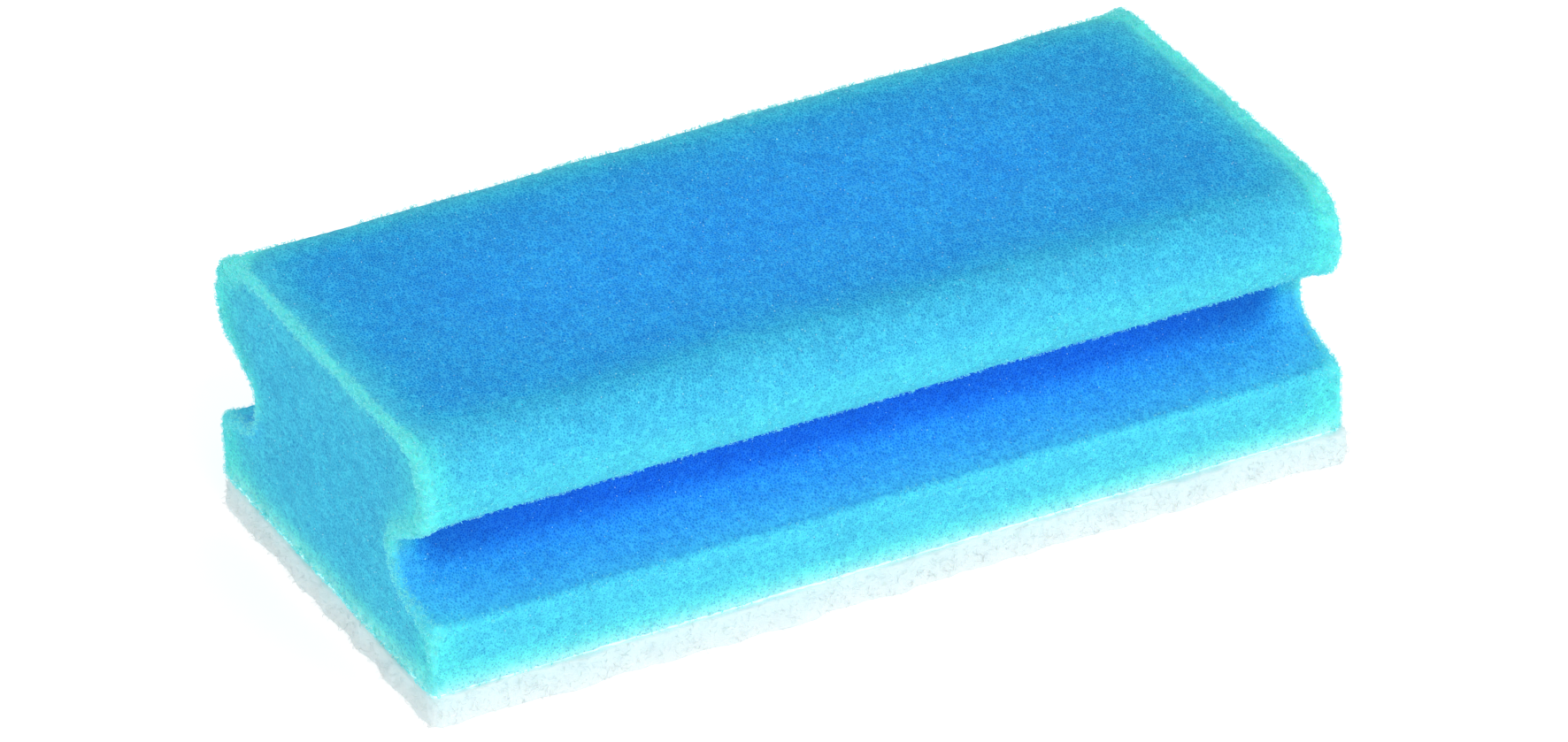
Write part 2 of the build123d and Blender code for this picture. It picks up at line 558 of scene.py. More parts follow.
# Foam blue with painted light and shade: pale green-blue at a thin edge, deep blue in the groove.
FOAM_LIGHT_AND_SHADE_RAMP = [
    (0.00, (0.108, 0.825, 0.870)),
    (0.13, (0.076, 0.680, 0.835)),
    (0.19, (0.063, 0.560, 0.845)),
    (0.27, (0.047, 0.470, 0.860)),
    (0.41, (0.012, 0.335, 0.800)),
    (0.53, (0.003, 0.250, 0.860)),
    (0.71, (0.003, 0.180, 0.800)),
    (0.96, (0.001, 0.115, 0.750)),
]
# Painted shade in the pores, and painted light: lit pores and walls, the rims' glow, the blue under
# the lobe's roof and the pad's white.
SHADED_PORE = (0.004, 0.20, 0.56, 1)
DEEPER_SHADED_PORE = (0.001, 0.07, 0.42, 1)
LIT_PORE = (0.24, 0.95, 0.88, 1)
LIT_WALL = (0.115, 0.78, 1.00, 1)
RIM_GLOW = (0.160, 0.88, 0.84, 1)
ROOF_BLUE = (0.030, 0.385, 1.00, 1)
PAD_LIGHT_TINT = (0.90, 1.00, 0.92, 1)
# The end_rim at which the painted pale glow of the rim is full and gone, and how much of it
# is mixed in.
RIM_FULL, RIM_GONE, RIM_STRENGTH = 0.26, 0.49, 0.5
# The light path over which the painted shade in pores darkens and the walls lose their
# painted paleness.
PORE_SHADE_STARTS, PORE_SHADE_FULL = 0.6, 1.1
WALLS_FADE, WALLS_FADED, WALL_PALE, WALL_DIM = 0.5, 1.1, 0.41, 0.15
# Each cell's and each clump's tone is drawn from 0 to 1, times a swing, plus a base.
PORE_SWING, PORE_BASE = 0.48, 0.14
CLUMP_SWING, CLUMP_BASE = 0.22, 0.89


def use_group(tree, group, inputs):
    """A group placed in a material with its own values."""
    node = tree.nodes.new("ShaderNodeGroup")
    node.node_tree = group
    for name, value in inputs.items():
        feed(tree, node.inputs[name], value)
    return node


def new_material(name, fixed):
    """A material with its fixed values set, its tree, its shader and the Object coordinates."""
    material = bpy.data.materials.new(name)
    material.use_nodes = True
    tree = material.node_tree
    shader = tree.nodes["Principled BSDF"]
    for label, value in fixed.items():
        shader.inputs[label].default_value = value
    coordinates = tree.nodes.new("ShaderNodeTexCoord").outputs["Object"]
    print("material", name)
    return material, tree, shader, coordinates


def ramp_of(tree, value, stops):
    """A colour ramp over value."""
    node = put(tree, "ShaderNodeValToRGB", {"Fac": value})
    band = node.color_ramp.elements
    for _ in stops[2:]:
        band.new(0.5)
    for element, (position, colour) in zip(band, stops):
        element.position = position
        element.color = (*colour, 1)
    return node.outputs["Color"]


def tinted(tree, colour, other, amount, mode="MIX"):
    """colour mixed with other by amount."""
    inputs = {0: amount, 6: colour, 7: other}
    return put(tree, "ShaderNodeMix", inputs, data_type="RGBA", blend_type=mode).outputs[2]


def darkened(tree, colour, *factors):
    """colour times one factor for all three channels, or one for each."""
    channels = factors if len(factors) == 3 else factors * 3
    grey = put(tree, "ShaderNodeCombineColor", dict(enumerate(channels))).outputs[0]
    return tinted(tree, colour, grey, 1.0, "MULTIPLY")


def mottled(tree, colour, where, patch, strength):
    """colour with the slow mottle over it."""
    inputs = {"Vector": where, "Patch Size": patch, "Strength": strength}
    return darkened(tree, colour, use_group(tree, soft_mottle, inputs).outputs[0])


def stored(tree, name):
    """A number kept on the mesh."""
    return put(tree, "ShaderNodeAttribute", attribute_name=name).outputs["Fac"]


def foam_ground(tree, rim):
    """The foam's colour before its cells are drawn, with the stored measures' painted light and
    shade.
    """
    path = math_node(tree, "DIVIDE", stored(tree, "light_path"), PATH_AT_RAMP_END)
    colour = darkened(tree, ramp_of(tree, path, FOAM_LIGHT_AND_SHADE_RAMP), 1.0, 1.0, stored(tree, "blue_kept"))
    # Painted light: the rims' pale glow, blue light under the lobe's roof and the pad's white low
    # down.
    colour = tinted(tree, colour, RIM_GLOW, math_node(tree, "MULTIPLY", rim, RIM_STRENGTH))
    colour = tinted(tree, colour, ROOF_BLUE, stored(tree, "roof_light"))
    return tinted(tree, colour, PAD_LIGHT_TINT, stored(tree, "pad_light"))


def make_blue_foam():
    """The foam's finish."""
    material, tree, shader, where = new_material("blue_open_cell_foam", {
        "Roughness": 0.95, "Specular IOR Level": 0.15, "Subsurface Weight": 0.25,
        "Subsurface Radius": (0.3, 0.8, 1.6), "Subsurface Scale": 0.8 * MM,
    })
    rim = scaled_to(tree, stored(tree, "end_rim"), RIM_FULL, RIM_GONE, 1.0, 0.0)
    colour = foam_ground(tree, rim)

    grown = vector_node(tree, "MULTIPLY", where, (1, 1 / RISE_STRETCH, 1))
    cells = use_group(tree, open_cells, {"Vector": grown, "Cell Size": CELL})
    # Painted light: the walls between pores are painted paler where the light path is short.
    wall_light = scaled_to(
        tree, stored(tree, "light_path"), WALLS_FADE, WALLS_FADED, WALL_PALE, WALL_DIM
    )
    wall = math_node(tree, "MULTIPLY", cells.outputs["Walls"], wall_light)
    colour = tinted(tree, colour, LIT_WALL, wall)
    # Painted shade in each pore, darker where the light path is long, and painted pale on the rims.
    deep = scaled_to(tree, stored(tree, "light_path"), PORE_SHADE_STARTS, PORE_SHADE_FULL)
    pore_colour = tinted(tree, tinted(tree, SHADED_PORE, DEEPER_SHADED_PORE, deep), LIT_PORE, rim)
    pore_shade = math_node(tree, "MULTIPLY_ADD", cells.outputs["Tone"], PORE_SWING, PORE_BASE)
    pore = math_node(tree, "MULTIPLY", cells.outputs["Pores"], pore_shade)
    colour = tinted(tree, colour, pore_colour, pore)

    clumps = use_group(tree, open_cells, {"Vector": grown, "Cell Size": CLUMP, "Wander": 0.8})
    patch = math_node(tree, "MULTIPLY_ADD", clumps.outputs["Tone"], CLUMP_SWING, CLUMP_BASE)
    cloudy = {"Vector": where, "Patch Size": 6 * MM, "Strength": 0.10}
    slow = math_node(tree, "MULTIPLY", patch, use_group(tree, soft_mottle, cloudy).outputs[0])
    colour = darkened(tree, colour, slow, slow, math_node(tree, "SQRT", slow))
    tree.links.new(colour, shader.inputs["Base Color"])
    dents = {"Height": cells.outputs["Height"], "Strength": 0.35, "Distance": 0.1 * MM}
    tree.links.new(put(tree, "ShaderNodeBump", dents).outputs[0], shader.inputs["Normal"])
    return material


blue_foam = make_blue_foam()

# %% [markdown]
# ## The foam block
#
# The block is copied from its solid and remeshed into small even squares, which also softens
# its knife edges by about one square, as cut foam is soft. Then a Geometry Nodes tree moves
# every point: slow waves where the wire cutter wandered, lumps of torn cells, and pits where
# a cell lies open. On the rims the cells stand proud and ragged, because nothing holds them
# on one side. The lobe overhangs the groove and only its root carries it, so its underside
# sags by up to three quarters of a millimetre. A cut block has no cover and no stuffing, so
# nothing inflates it and a cloth simulation has nothing to do here.

# %% Foam surface tree
# The share of foam at which a rim is fully ragged, and where it is sound again.
RAGGED, SOUND = 0.30, 0.45
# Heights above the foam's bottom: the pad holds the rim back below, the lobe sags above.
HELD_TO, FREE_FROM, HELD_PART = 0.5 * MM, 2.0 * MM, 0.5
SAG_STARTS, SAG_FULL = 14 * MM, 20 * MM
# How far a face points down when it counts as an underside.
UNDERSIDE, UPRIGHT = -0.5, -0.1
PIT_OPEN, PIT_SHUT = 0.15, 0.6


def fresh_copy(node):
    """A merged copy of a solid's mesh."""
    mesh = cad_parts[node].data.copy()
    work = bpy.data.objects.new(node + "_copy", mesh)
    bpy.context.scene.collection.objects.link(work)
    weld = work.modifiers.new("weld", "WELD")
    weld.merge_threshold = 0.001 * MM
    return work


def remeshed(node, square):
    """A solid's copy as even squares of about that size."""
    work = fresh_copy(node)
    grid = work.modifiers.new("squares", "REMESH")
    grid.mode = "VOXEL"
    grid.voxel_size = square
    return kept(work, node + "_squares")


def make_cut_foam_tree():
    """Moves the points of a foam surface: cutter waves, torn lumps and open cells."""
    tree, ask, out = new_group(
        "GeometryNodeTree", "cut_foam",
        [("Geometry", GEOMETRY, None), ("Wave Length", NUMBER, 14 * MM),
         ("Wave Height", NUMBER, 0.34 * MM), ("Lump Size", NUMBER, 1.6 * MM),
         ("Lump Height", NUMBER, 0.16 * MM), ("Cell Size", NUMBER, 0.9 * MM),
         ("Pit Depth", NUMBER, 0.30 * MM), ("Rim Rise", NUMBER, 0.32 * MM),
         ("Rim Rag", NUMBER, 0.9 * MM), ("Rag Size", NUMBER, 0.8 * MM),
         ("Bottom", NUMBER, 6 * MM), ("Lobe Sag", NUMBER, 0.75 * MM),
         ("Seed", NUMBER, 0.0), ("Finish", MATERIAL, None)],
        [("Geometry", GEOMETRY)],
    )
    place = put(tree, "GeometryNodeInputPosition").outputs[0]
    normal = put(tree, "GeometryNodeInputNormal").outputs[0]

    def cloud(size, detail):
        """A cloud whose patches have the size of one of the inputs."""
        return cloud_around_0(tree, place, ask["Seed"], ask[size], detail)

    pattern = {"Vector": place, "W": ask["Seed"], "Scale": per(tree, ask["Cell Size"])}
    cells = put(tree, "ShaderNodeTexVoronoi", pattern, voronoi_dimensions="4D", feature="F1")
    open_here = scaled_to(tree, cells.outputs["Distance"], PIT_OPEN, PIT_SHUT, 1.0, 0.0)
    picked = put(tree, "FunctionNodeSeparateColor", {0: cells.outputs["Color"]}).outputs[0]
    pit = math_node(tree, "MULTIPLY", open_here, math_node(tree, "MULTIPLY", picked, picked))
    sunk = math_node(tree, "MULTIPLY", pit, ask["Pit Depth"])
    waves = math_node(tree, "MULTIPLY", cloud("Wave Length", 1.0), ask["Wave Height"])
    lumps = math_node(tree, "MULTIPLY", cloud("Lump Size", 2.0), ask["Lump Height"])
    lift = math_node(tree, "MULTIPLY", math_node(tree, "ADD", waves, lumps), 2.0)
    surface = vector_node(tree, "SCALE", normal, math_node(tree, "SUBTRACT", lift, sunk))

    share = put(tree, "GeometryNodeInputNamedAttribute", {"Name": "rim_share"}).outputs[0]
    rim = scaled_to(tree, share, RAGGED, SOUND, 1.0, 0.0)
    torn = cloud("Rag Size", 2.0)
    ragged = math_node(tree, "MULTIPLY_ADD", torn, ask["Rim Rag"], ask["Rim Rise"])
    height = math_node(tree, "SUBTRACT", split_xyz(tree, place)[2], ask["Bottom"])
    off_the_pad = scaled_to(tree, height, HELD_TO, FREE_FROM, HELD_PART, 1.0)
    freely = xyz(tree, X=1.0, Y=1.0, Z=off_the_pad)
    outward = vector_node(tree, "MULTIPLY", normal, freely)
    risen = vector_node(tree, "SCALE", outward, math_node(tree, "MULTIPLY", rim, ragged))

    facing_down = scaled_to(tree, split_xyz(tree, normal)[2], UNDERSIDE, UPRIGHT, 1.0, 0.0)
    overhung = scaled_to(tree, height, SAG_STARTS, SAG_FULL)
    under_lobe = math_node(tree, "MULTIPLY", facing_down, overhung)
    drop = math_node(tree, "MULTIPLY", under_lobe, ask["Lobe Sag"])
    sag = xyz(tree, Z=drop)

    offset = vector_node(tree, "SUBTRACT", vector_node(tree, "ADD", surface, risen), sag)
    moved = put(tree, "GeometryNodeSetPosition", {"Geometry": ask["Geometry"], "Offset": offset})
    finish_tree(tree, moved, ask["Finish"], out)
    return tree


# %% Make the foam block
FOAM_SQUARE = 0.42 * MM

foam_squares = remeshed("foam_body", FOAM_SQUARE)
store(foam_squares, "rim_share", share_of_foam(points_of(foam_squares), "rim"))
foam_settings = {"Finish": blue_foam, "Seed": 3.0, "Bottom": foam_low.z}
foam_mesh = modelled(foam_squares, make_cut_foam_tree(), foam_settings, "foam_block")
mark_light(foam_mesh)
foam_block = piece_from(foam_mesh, "foam_block", blue_foam, "foam_body")

# %% [markdown]
# ## Scrub pad
#
# The pad is a web of springy white fibres pressed into a slab. Its cut edge is never straight:
# the web tears and springs back in waves a few millimetres long. Modelling every fibre would
# take millions of faces, so the slab carries the tangle as a finish, and only the fibres that
# stick out of the cut edge become shapes, further down. Close under the foam the white takes
# on a little blue, which the foam throws onto it.

# %% White web material
WEB_SHADE = (0.76, 0.86, 0.873, 1)
WEB_STRAND = (0.84, 0.922, 0.913, 1)
FOAM_BOUNCE = (0.58, 0.87, 0.92, 1)
BOUNCE_FROM, BOUNCE_MOST = 1 * MM, 0.4


def make_white_web():
    """The pad's finish."""
    material, tree, shader, where = new_material("white_nonwoven_web", {
        "Roughness": 0.8, "Specular IOR Level": 0.25, "Subsurface Weight": 0.5,
        "Subsurface Radius": (1.0, 1.2, 1.4), "Subsurface Scale": 1.5 * MM,
    })
    tangle = use_group(tree, fibre_tangle, {"Vector": where})
    shade = tinted(tree, WEB_SHADE, WEB_STRAND, tangle.outputs["Strands"])
    height = split_xyz(tree, where)[2]
    near_foam = scaled_to(tree, height, pad_low.z + BOUNCE_FROM, pad_high.z, 0.0, BOUNCE_MOST)
    shade = tinted(tree, shade, FOAM_BOUNCE, near_foam)
    tree.links.new(mottled(tree, shade, where, 5 * MM, 0.06), shader.inputs["Base Color"])
    ridges = {"Height": tangle.outputs["Height"], "Strength": 0.6, "Distance": 0.1 * MM}
    tree.links.new(put(tree, "ShaderNodeBump", ridges).outputs[0], shader.inputs["Normal"])
    return material


white_web = make_white_web()


# %% Pad tree
EDGE_REACH = 6 * MM


def make_torn_pad_tree():
    """Waves the cut edge of a slab and roughens its faces."""
    tree, ask, out = new_group(
        "GeometryNodeTree", "torn_pad",
        [("Geometry", GEOMETRY, None), ("Half Length", NUMBER, 75 * MM),
         ("Half Width", NUMBER, 35 * MM), ("Edge Wave", NUMBER, 7 * MM),
         ("Edge Height", NUMBER, 4.0 * MM), ("Edge Bias", NUMBER, 0.1),
         ("Web Size", NUMBER, 1.5 * MM), ("Web Height", NUMBER, 0.08 * MM),
         ("Seed", NUMBER, 0.0), ("Finish", MATERIAL, None)],
        [("Geometry", GEOMETRY)],
    )
    place = put(tree, "GeometryNodeInputPosition").outputs[0]
    split = split_xyz(tree, place)
    normal = put(tree, "GeometryNodeInputNormal").outputs[0]

    drawn_up = vector_node(tree, "MULTIPLY", place, (1, 1, 0.6))
    torn = cloud_around_0(tree, drawn_up, ask["Seed"], ask["Edge Wave"], 2.5)
    swing = math_node(tree, "ADD", torn, ask["Edge Bias"])
    wave = math_node(tree, "MULTIPLY", swing, ask["Edge Height"])

    def outward(axis, half):
        """Push along one axis, full at the cut edge and gone a few millimetres inside it."""
        from_edge = math_node(tree, "SUBTRACT", ask[half], math_node(tree, "ABSOLUTE", split[axis]))
        near = scaled_to(tree, from_edge, 0.0, EDGE_REACH, 1.0, 0.0)
        side = math_node(tree, "SIGN", split[axis])
        return math_node(tree, "MULTIPLY", math_node(tree, "MULTIPLY", near, side), wave)

    push = xyz(tree, X=outward(0, "Half Length"), Y=outward(1, "Half Width"))
    web = cloud_around_0(tree, place, ask["Seed"], ask["Web Size"], 2.0)
    rough = math_node(tree, "MULTIPLY", web, ask["Web Height"])
    offset = vector_node(tree, "ADD", push, vector_node(tree, "SCALE", normal, rough))
    moved = put(tree, "GeometryNodeSetPosition", {"Geometry": ask["Geometry"], "Offset": offset})
    finish_tree(tree, moved, ask["Finish"], out)
    return tree


# %% Make the pad
PAD_SQUARE = 0.55 * MM

pad_squares = remeshed("scrub_pad", PAD_SQUARE)
pad_settings = {
    "Finish": white_web, "Seed": 5.0, "Half Length": pad_high.x, "Half Width": pad_high.y,
}
pad_mesh = modelled(pad_squares, make_torn_pad_tree(), pad_settings, "scrub_pad_web")
scrub_web = piece_from(pad_mesh, "scrub_pad_web", white_web, "scrub_pad")

# %% [markdown]
# ## Ragged glue film
#
# The adhesive is sprayed on one web before the two are pressed together, so the film has no
# clean edge: it ends in small tongues and gaps between the foam and the pad. It is drawn as a
# rectangle, cut into short steps, filled, given its thickness, and then each point of its
# outline is pushed sideways by a noise. The solid film is replaced by this sheet. The pad's
# fibres lie in the glue and show as strands. Light that has come through the foam and the pad
# leaves by the film's edge, which a weak glow of its own stands for.

# %% Glue material
GLUE_MILK = (0.48, 0.95, 0.94, 1)
GLUE_STRAND = (0.60, 0.97, 0.95, 1)
GLUE_LIGHT = (0.55, 0.97, 0.95, 1)
GLUE_GLOW = 0.50


def make_milky_glue():
    """The film's finish."""
    material, tree, shader, where = new_material("milky_glue", {
        "Roughness": 0.45, "Subsurface Weight": 0.4, "Subsurface Radius": (0.8, 1.0, 1.0),
        "Subsurface Scale": 1.0 * MM, "Emission Color": GLUE_LIGHT, "Emission Strength": GLUE_GLOW,
    })
    tangle = use_group(tree, fibre_tangle, {"Vector": where})
    colour = tinted(tree, GLUE_MILK, GLUE_STRAND, tangle.outputs["Strands"])
    tree.links.new(mottled(tree, colour, where, 2 * MM, 0.2), shader.inputs["Base Color"])
    return material


milky_glue = make_milky_glue()


# %% Film tree
def make_ragged_film_tree():
    """A thin closed sheet whose outline wanders."""
    tree, ask, out = new_group(
        "GeometryNodeTree", "ragged_film",
        [("Length", NUMBER, 0.15), ("Width", NUMBER, 0.07),
         ("Thickness", NUMBER, 0.3 * MM), ("Bottom", NUMBER, 0.0),
         ("Step", NUMBER, 0.45 * MM), ("Tongue Size", NUMBER, 0.9 * MM),
         ("Tongue Reach", NUMBER, 1.0 * MM), ("Seed", NUMBER, 0.0),
         ("Finish", MATERIAL, None)],
        [("Geometry", GEOMETRY)],
    )
    outline = {"Width": ask["Length"], "Height": ask["Width"]}
    corners = put(tree, "GeometryNodeCurvePrimitiveQuadrilateral", outline).outputs[0]
    stepped = {"Curve": corners, "Length": ask["Step"]}
    steps = put(tree, "GeometryNodeResampleCurve", stepped, mode="LENGTH").outputs[0]
    face = put(tree, "GeometryNodeFillCurve", {"Curve": steps}, mode="NGONS").outputs[0]
    thickened = {"Mesh": face, "Offset Scale": ask["Thickness"], "Individual": False}
    raised = put(tree, "GeometryNodeExtrudeMesh", thickened).outputs[0]
    under = put(tree, "GeometryNodeFlipFaces", {"Mesh": face}).outputs[0]
    both = put(tree, "GeometryNodeJoinGeometry")
    tree.links.new(raised, both.inputs[0])
    tree.links.new(under, both.inputs[0])
    joined = {"Geometry": both.outputs[0], "Distance": 0.01 * MM}
    closed = put(tree, "GeometryNodeMergeByDistance", joined).outputs[0]

    place = put(tree, "GeometryNodeInputPosition").outputs[0]
    cloud = {
        "Vector": place, "W": ask["Seed"], "Scale": per(tree, ask["Tongue Size"]), "Detail": 2.0,
    }
    wander = put(tree, "ShaderNodeTexNoise", cloud, noise_dimensions="4D").outputs["Color"]
    level = vector_node(tree, "MULTIPLY", vector_node(tree, "SUBTRACT", wander, MIDDLE), (1, 1, 0))
    push = vector_node(tree, "SCALE", level, ask["Tongue Reach"])
    lift = xyz(tree, Z=ask["Bottom"])
    offset = vector_node(tree, "ADD", push, lift)
    moved = put(tree, "GeometryNodeSetPosition", {"Geometry": closed, "Offset": offset})
    finish_tree(tree, moved, ask["Finish"], out)
    return tree


# %% Make the film
film_settings = {
    "Length": film_high.x - film_low.x, "Width": film_high.y - film_low.y,
    "Thickness": film_high.z - film_low.z, "Bottom": film_low.z, "Seed": 2.0, "Finish": milky_glue,
}
film_start = bpy.data.meshes.new("film_start")
film_mesh = modelled(film_start, make_ragged_film_tree(), film_settings, "glue_film")
glue_film = piece_from(film_mesh, "glue_film", milky_glue, "bond_film")

# %% [markdown]
# ## Small things scattered over a surface
#
# Three small things finish the sponge, and each is one shape repeated thousands of times, so
# one kind of Geometry Nodes tree makes them all. It picks the part of a surface that suits,
# strews points there, sets a small mesh on each point with its own size and turn, makes them
# real and bends them a little so that no two are alike.
#
# - Open rings of five struts are the cut cells that make the foam's outline fuzzy. Larger
#   ones stand close together on the rims of the cut ends (`rim_cells`), and smaller ones are
#   strewn thinly over every rounded or cut edge (`crown_cells`). They are shaded flat: a
#   smooth shade on a bar with only three sides turns it brown on the side away from the light.
# - Thin flakes lie in the foam's surface: a few cells keep a film of foam across their mouth,
#   and that film glints by its gloss, with its pale colour painted as light coming through it.
# - Short fibres stick out of the pad's cut edge.

# %% Scatter tree
def make_scatter_tree(name, add_shape):
    """A tree that strews one small shape. add_shape adds its nodes and gives its mesh socket."""
    tree, ask, out = new_group(
        "GeometryNodeTree", name,
        [("Geometry", GEOMETRY, None), ("Measure", TEXT, "rim_share"),
         ("Per Area", NUMBER, 1e5),
         ("Share Full", NUMBER, 2.0), ("Share None", NUMBER, 3.0),
         ("Steepness", NUMBER, -1.0), ("Size Low", NUMBER, 0.3 * MM),
         ("Size High", NUMBER, 0.5 * MM), ("Thickness", NUMBER, 0.1),
         ("Tilt", NUMBER, 1.5), ("Stand Out", NUMBER, 0.0),
         ("Bend Size", NUMBER, 0.6 * MM), ("Bend", NUMBER, 0.05 * MM),
         ("Seed", COUNT, 1), ("Finish", MATERIAL, None)],
        [("Geometry", GEOMETRY)],
    )
    share = put(tree, "GeometryNodeInputNamedAttribute", {"Name": ask["Measure"]}).outputs[0]
    normal = put(tree, "GeometryNodeInputNormal").outputs[0]
    upward = math_node(tree, "ABSOLUTE", split_xyz(tree, normal)[2])
    sideways = math_node(tree, "SUBTRACT", 1.0, upward)
    steep = math_node(tree, "GREATER_THAN", sideways, ask["Steepness"])
    suits = scaled_to(tree, share, ask["Share Full"], ask["Share None"], 1.0, 0.0)
    wanted = math_node(tree, "MULTIPLY", steep, suits)
    density = math_node(tree, "MULTIPLY", wanted, ask["Per Area"])
    sown = {"Mesh": ask["Geometry"], "Density": density, "Seed": ask["Seed"]}
    strewn = put(tree, "GeometryNodeDistributePointsOnFaces", sown).outputs
    out_by = vector_node(tree, "SCALE", strewn["Normal"], ask["Stand Out"])
    lifted = {"Geometry": strewn["Points"], "Offset": out_by}
    spots = put(tree, "GeometryNodeSetPosition", lifted).outputs[0]

    tilt, back = ask["Tilt"], math_node(tree, "MULTIPLY", ask["Tilt"], -1.0)
    low = xyz(tree, X=back, Y=back)
    high = xyz(tree, X=tilt, Y=tilt, Z=math.tau)
    drawn = {"Min": low, "Max": high, "Seed": ask["Seed"]}
    turn = put(tree, "FunctionNodeRandomValue", drawn, data_type="FLOAT_VECTOR").outputs[0]
    turned = {"Rotation": strewn["Rotation"], "Rotate By": turn}
    facing = put(tree, "FunctionNodeRotateRotation", turned, rotation_space="LOCAL").outputs[0]
    sizes = {"Min": ask["Size Low"], "Max": ask["Size High"], "Seed": ask["Seed"]}
    size = put(tree, "FunctionNodeRandomValue", sizes).outputs["Value"]
    set_down = {
        "Points": spots, "Instance": add_shape(tree, ask), "Rotation": facing, "Scale": size,
    }
    placed = put(tree, "GeometryNodeInstanceOnPoints", set_down).outputs[0]

    real = put(tree, "GeometryNodeRealizeInstances", {"Geometry": placed}).outputs[0]
    place = put(tree, "GeometryNodeInputPosition").outputs[0]
    cloud = {"Vector": place, "Scale": per(tree, ask["Bend Size"]), "Detail": 0.0}
    wander = put(tree, "ShaderNodeTexNoise", cloud).outputs["Color"]
    bend = vector_node(tree, "SCALE", vector_node(tree, "SUBTRACT", wander, MIDDLE), ask["Bend"])
    bent = put(tree, "GeometryNodeSetPosition", {"Geometry": real, "Offset": bend})
    finish_tree(tree, bent, ask["Finish"], out)
    return tree


def tube(tree, line, radius, capped=False):
    """A three-sided tube along a line."""
    section = put(tree, "GeometryNodeCurvePrimitiveCircle", {"Resolution": 3, "Radius": radius})
    inputs = {"Curve": line, "Profile Curve": section.outputs[0], "Fill Caps": capped}
    return put(tree, "GeometryNodeCurveToMesh", inputs).outputs[0]


def strut_ring(tree, ask):
    """A five-sided ring of radius 1."""
    ring = put(tree, "GeometryNodeCurvePrimitiveCircle", {"Resolution": 5, "Radius": 1.0})
    return tube(tree, ring.outputs[0], ask["Thickness"])


def film_flake(tree, ask):
    """A ball of radius 1 pressed flat to that thickness."""
    ball = put(tree, "GeometryNodeMeshIcoSphere", {"Radius": 1.0, "Subdivisions": 1}).outputs[0]
    squash = xyz(tree, X=1.0, Y=0.7, Z=ask["Thickness"])
    return put(tree, "GeometryNodeTransform", {"Geometry": ball, "Scale": squash}).outputs[0]


def short_fibre(tree, ask):
    """A bowed fibre of length 1 that stands on its foot."""
    bowed = {"Resolution": 5, "Start": (0, 0, -0.2), "Middle": (0.35, 0.1, 0.3), "End": (0, 0, 0.8)}
    bow = put(tree, "GeometryNodeCurveQuadraticBezier", bowed).outputs[0]
    return tube(tree, bow, ask["Thickness"], capped=True)


# %% Cell rings on the rims
# Painted light: struts against the light are painted pale, as if it shone through them.
STRUT_BLUE = (0.12, 0.78, 0.86, 1)
STRUT_PALE = (0.24, 0.95, 0.93, 1)


def make_rim_strut():
    """The finish of a single strut against the light: painted pale, as if light shone through it.
    """
    material, tree, shader, where = new_material("rim_strut", {
        "Roughness": 0.9, "Specular IOR Level": 0.1, "Subsurface Weight": 0.6,
        "Subsurface Radius": (0.5, 1.0, 1.2), "Subsurface Scale": 0.3 * MM,
    })
    cells = use_group(tree, open_cells, {"Vector": where, "Cell Size": CELL})
    colour = tinted(tree, STRUT_BLUE, STRUT_PALE, cells.outputs["Tone"])
    tree.links.new(mottled(tree, colour, where, 3 * MM, 0.15), shader.inputs["Base Color"])
    return material


rim_strut = make_rim_strut()
cell_rings = make_scatter_tree("cell_rings", strut_ring)
ring_settings = {"Thickness": 0.18, "Tilt": 1.6, "Finish": rim_strut}
rim_settings = ring_settings | {
    "Measure": "end_rim", "Per Area": 3.5e6, "Share Full": 0.30, "Share None": 0.46,
    "Size Low": 0.14 * MM, "Size High": 0.30 * MM, "Stand Out": 0.20 * MM, "Seed": 11,
}
rim_mesh = modelled(foam_mesh.copy(), cell_rings, rim_settings, "rim_cells")
rim_cells = piece_from(rim_mesh, "rim_cells", rim_strut, smooth=False)
crown_settings = ring_settings | {
    "Measure": "rim_share", "Per Area": 0.9e6, "Share Full": 0.28, "Share None": 0.49,
    "Size Low": 0.12 * MM, "Size High": 0.24 * MM, "Stand Out": 0.17 * MM, "Seed": 13,
}
crown_mesh = modelled(foam_mesh.copy(), cell_rings, crown_settings, "crown_cells")
crown_cells = piece_from(crown_mesh, "crown_cells", rim_strut, smooth=False)


# %% Glinting flakes
# Painted light: the flakes' pale colour stands for light through a thin skin; their glint comes
# from their gloss.
FILM_PALE = (0.42, 0.88, 1.0, 1)


def make_cell_film():
    """The finish of a thin skin of foam across a cell: painted pale as if lit through, and shiny.
    """
    material, tree, shader, where = new_material("cell_film", {
        "Roughness": 0.18, "Specular IOR Level": 0.8,
    })
    tree.links.new(mottled(tree, FILM_PALE, where, 2 * MM, 0.25), shader.inputs["Base Color"])
    return material


cell_film = make_cell_film()
flake_settings = {
    "Per Area": 1.2e5, "Size Low": 0.05 * MM, "Size High": 0.14 * MM, "Thickness": 0.25,
    "Tilt": 0.9, "Stand Out": 0.03 * MM, "Seed": 23, "Finish": cell_film,
}
flakes = make_scatter_tree("film_flakes", film_flake)
flake_mesh = modelled(foam_mesh.copy(), flakes, flake_settings, "film_flakes")
film_flakes = piece_from(flake_mesh, "film_flakes", cell_film)

# %% Fibres on the pad's cut edge
fibre_settings = {
    "Per Area": 2.0e6, "Steepness": 0.35, "Size Low": 0.5 * MM, "Size High": 1.3 * MM,
    "Thickness": 0.03, "Tilt": 1.45, "Bend Size": 0.9 * MM, "Bend": 0.4 * MM, "Seed": 31,
    "Finish": white_web,
}
fibres = make_scatter_tree("edge_fibres", short_fibre)
fibre_mesh = modelled(pad_mesh.copy(), fibres, fibre_settings, "edge_fibres")
edge_fibres = piece_from(fibre_mesh, "edge_fibres", white_web)

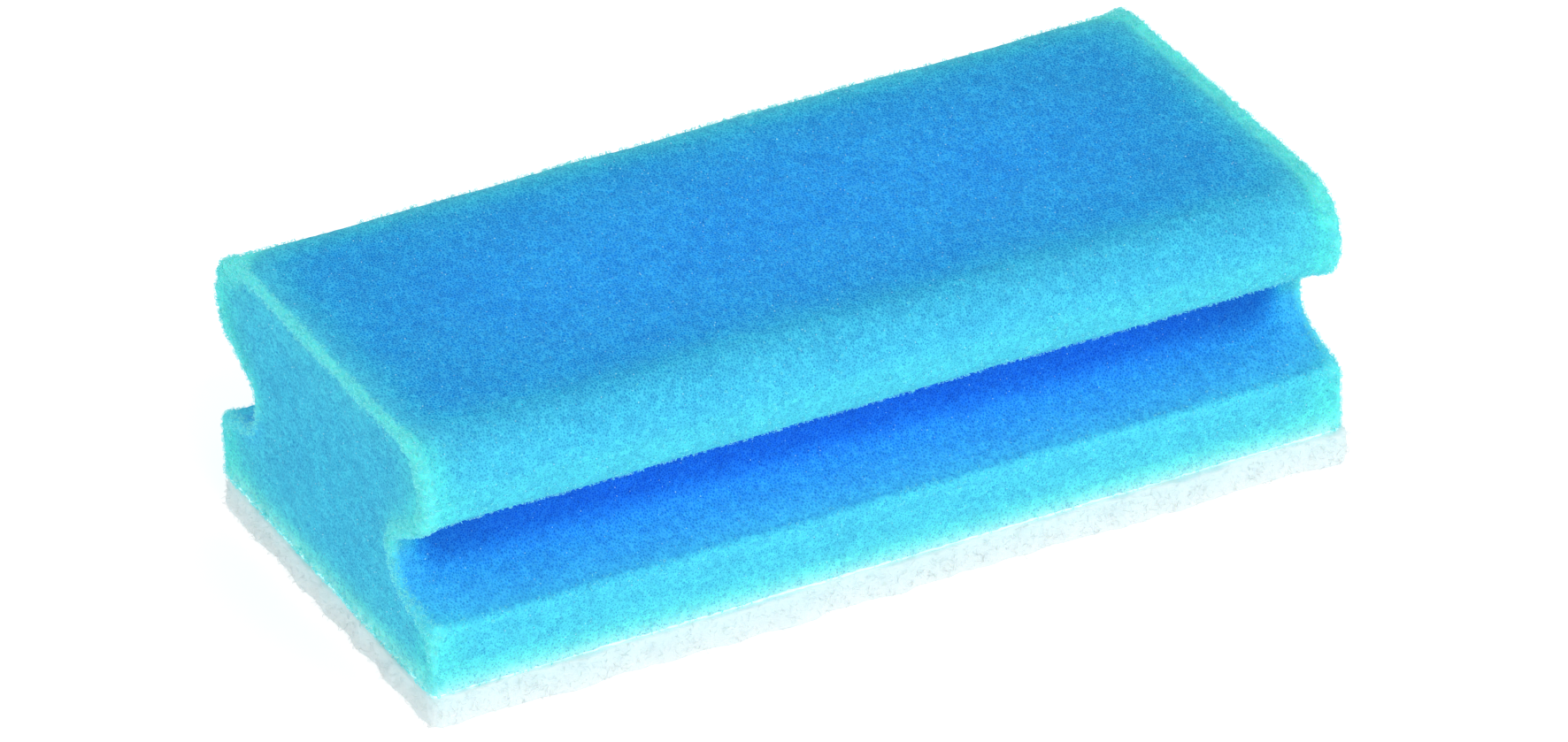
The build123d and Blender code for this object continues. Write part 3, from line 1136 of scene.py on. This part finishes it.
# %% [markdown]
# ## Floor and light
#
# A pale floor and a bright, even sky act as a light tent, so no side of the sponge is dark
# and its shadow is faint. The floor glows a little, which keeps it near white. One large soft
# box in front and above adds more light on the front than on the top. A small lamp would draw
# a hard shadow in every pore, which a tent never does.

# %% Floor, sky and lamps
FLOOR_SIZE = 12.0
FLOOR_GREY = (0.75, 0.75, 0.75, 1)
WHITE = (1, 1, 1, 1)
SKY_STRENGTH = 0.8
FLOOR_GLOW = 0.45
LAMP_PLACE, LAMP_AIM = (0.1, -2.0, 1.3), (0, 0, 0.02)
LAMP_SIZE, LAMP_POWER = 1.6, 22.0


def make_floor():
    """A pale floor under the pad, and nothing else in the room."""
    half = FLOOR_SIZE / 2
    mesh = bpy.data.meshes.new("floor")
    corners = [(-half, -half, 0), (half, -half, 0), (half, half, 0), (-half, half, 0)]
    mesh.from_pydata(corners, [], [(0, 1, 2, 3)])
    floor = bpy.data.objects.new("floor", mesh)
    bpy.context.scene.collection.objects.link(floor)
    matt_grey = {
        "Base Color": FLOOR_GREY, "Roughness": 0.9, "Specular IOR Level": 0.1,
        "Emission Color": WHITE, "Emission Strength": FLOOR_GLOW,
    }
    mesh.materials.append(new_material("pale_floor", matt_grey)[0])


def make_lamp(name, place, aim, size, power):
    """A square soft box."""
    lamp = bpy.data.lights.new(name, "AREA")
    lamp.size = size
    lamp.energy = power
    holder = bpy.data.objects.new(name, lamp)
    holder.location = place
    holder.rotation_euler = (Vector(place) - Vector(aim)).to_track_quat("Z", "Y").to_euler()
    bpy.context.scene.collection.objects.link(holder)


def make_sky():
    """An even white sky."""
    world = bpy.data.worlds.new("tent")
    world.use_nodes = True
    sky = world.node_tree.nodes["Background"]
    sky.inputs["Color"].default_value = WHITE
    sky.inputs["Strength"].default_value = SKY_STRENGTH
    bpy.context.scene.world = world


make_floor()
make_sky()
make_lamp("key", LAMP_PLACE, LAMP_AIM, LAMP_SIZE, LAMP_POWER)
bpy.context.scene.view_settings.view_transform = "Standard"
bpy.context.scene.view_settings.look = "None"
